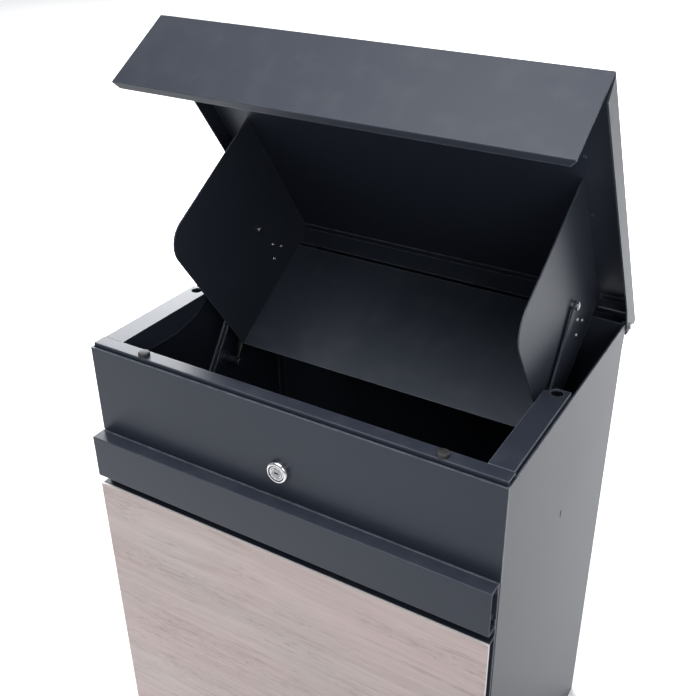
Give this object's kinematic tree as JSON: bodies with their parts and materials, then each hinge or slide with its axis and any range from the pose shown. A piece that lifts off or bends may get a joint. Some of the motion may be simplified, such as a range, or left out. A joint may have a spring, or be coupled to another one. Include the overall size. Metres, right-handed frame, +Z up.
{
  "type": "parcel drop box",
  "caption": "Sheet-steel parcel drop box with a rain lid that carries a swing-in scoop, slotted stays, gas strut, wood-faced fold-down door and cam lock.",
  "frame": {"origin": "middle of the underside of the cabinet, on the surface it stands on", "axes": "+X to the right as seen from the front, +Y towards the back, +Z up; the door and the lock face -Y"},
  "size_m": [0.4382, 0.3547, 0.8145],
  "materials": {
    "painted_panel": "fine textured powder coat, anthracite",
    "painted_rim": "fine textured powder coat, anthracite",
    "painted_lid": "fine textured powder coat, anthracite",
    "bright_zinc": "zinc-plated, dull sheen",
    "chrome": "polished chrome plate",
    "black_rubber": "matt",
    "strut_black": "satin black enamel",
    "strut_rod": "hard chrome, polished",
    "wood_decor": "pale pinkish oak, fine grain across the width, matt"
  },
  "bodies": {
    "cabinet": {"side_panel_left": "painted_panel", "side_panel_right": "painted_panel", "rear_panel": "painted_panel", "base_panel": "painted_panel", "upper_front_panel": "painted_panel", "front_rail": "painted_rim", "side_rail_left": "painted_rim", "side_rail_right": "painted_rim", "rail_rivets": "bright_zinc", "rubber_bumpers": "black_rubber", "hinge_bracket_left": "painted_rim", "hinge_bracket_right": "painted_rim", "hinge_bolts": "bright_zinc", "hinge_nuts": "bright_zinc", "stay_guide_left": "painted_rim", "stay_guide_right": "painted_rim", "strut_foot_bracket": "painted_rim", "door_hinge_pin": "bright_zinc", "body_hinge_leaf": "bright_zinc", "lock_housing": "chrome", "lock_nut": "bright_zinc"},
    "lid": {"lid_cover": "painted_lid", "lid_stiffener": "painted_lid", "scoop_floor": "painted_lid", "scoop_cheek_left": "painted_lid", "scoop_cheek_right": "painted_lid", "scoop_rivets": "bright_zinc", "stay_bolts": "bright_zinc", "stay_nuts": "bright_zinc", "strut_head_bracket": "painted_lid"},
    "stay_left_body": {"stay_left": "painted_rim"},
    "stay_right_body": {"stay_right": "painted_rim"},
    "strut_cylinder_body": {"strut_cylinder": "strut_black"},
    "strut_rod_body": {"strut_rod": "strut_rod"},
    "door": {"door_back_plate": "painted_panel", "grip_strip": "painted_panel", "wood_carrier": "painted_panel", "wood_board": "wood_decor", "door_hinge_leaf": "bright_zinc", "door_catch": "bright_zinc"},
    "lock_turning": {"lock_plug": "chrome", "lock_cam": "bright_zinc", "cam_screw": "bright_zinc"}
  },
  "joints": [
    {"name": "lid_hinge", "type": "hinge", "parent": "cabinet", "child": "lid", "pos_m": [0, 0.162, 0.5235], "axis": [1, 0, 0], "range_deg": [0, 56.8]},
    {"name": "stay_left_pivot", "type": "hinge", "parent": "lid", "child": "stay_left_body", "pos_m": [0, 0.07299, 0.57807], "axis": [1, 0, 0], "range_deg": [-85.33, 0]},
    {"name": "stay_right_pivot", "type": "hinge", "parent": "lid", "child": "stay_right_body", "pos_m": [0, 0.07299, 0.57807], "axis": [1, 0, 0], "range_deg": [-85.33, 0]},
    {"name": "strut_tilt", "type": "hinge", "parent": "cabinet", "child": "strut_cylinder_body", "pos_m": [0, 0.036, 0.4242], "axis": [1, 0, 0], "range_deg": [-23.26, 0]},
    {"name": "strut_slide", "type": "slide", "parent": "strut_cylinder_body", "child": "strut_rod_body", "axis": [0, 0.4841, 0.875], "range_m": [-0.03867, 0]},
    {"name": "door_hinge", "type": "hinge", "parent": "cabinet", "child": "door", "pos_m": [0, -0.1562, 0.015], "axis": [1, 0, 0], "range_deg": [0, 90]},
    {"name": "lock_turn", "type": "hinge", "parent": "cabinet", "child": "lock_turning", "pos_m": [0, -0.152, 0.465], "axis": [0, 1, 0], "range_deg": [0, 90]}
  ],
  "couplings": [
    {"joint": "stay_left_pivot", "follows": "lid_hinge", "ratio": -1.502},
    {"joint": "stay_right_pivot", "follows": "lid_hinge", "ratio": -1.502},
    {"joint": "strut_tilt", "follows": "lid_hinge", "ratio": -0.40924},
    {"joint": "strut_slide", "follows": "lid_hinge", "m_per_rad": -0.038987}
  ]
}
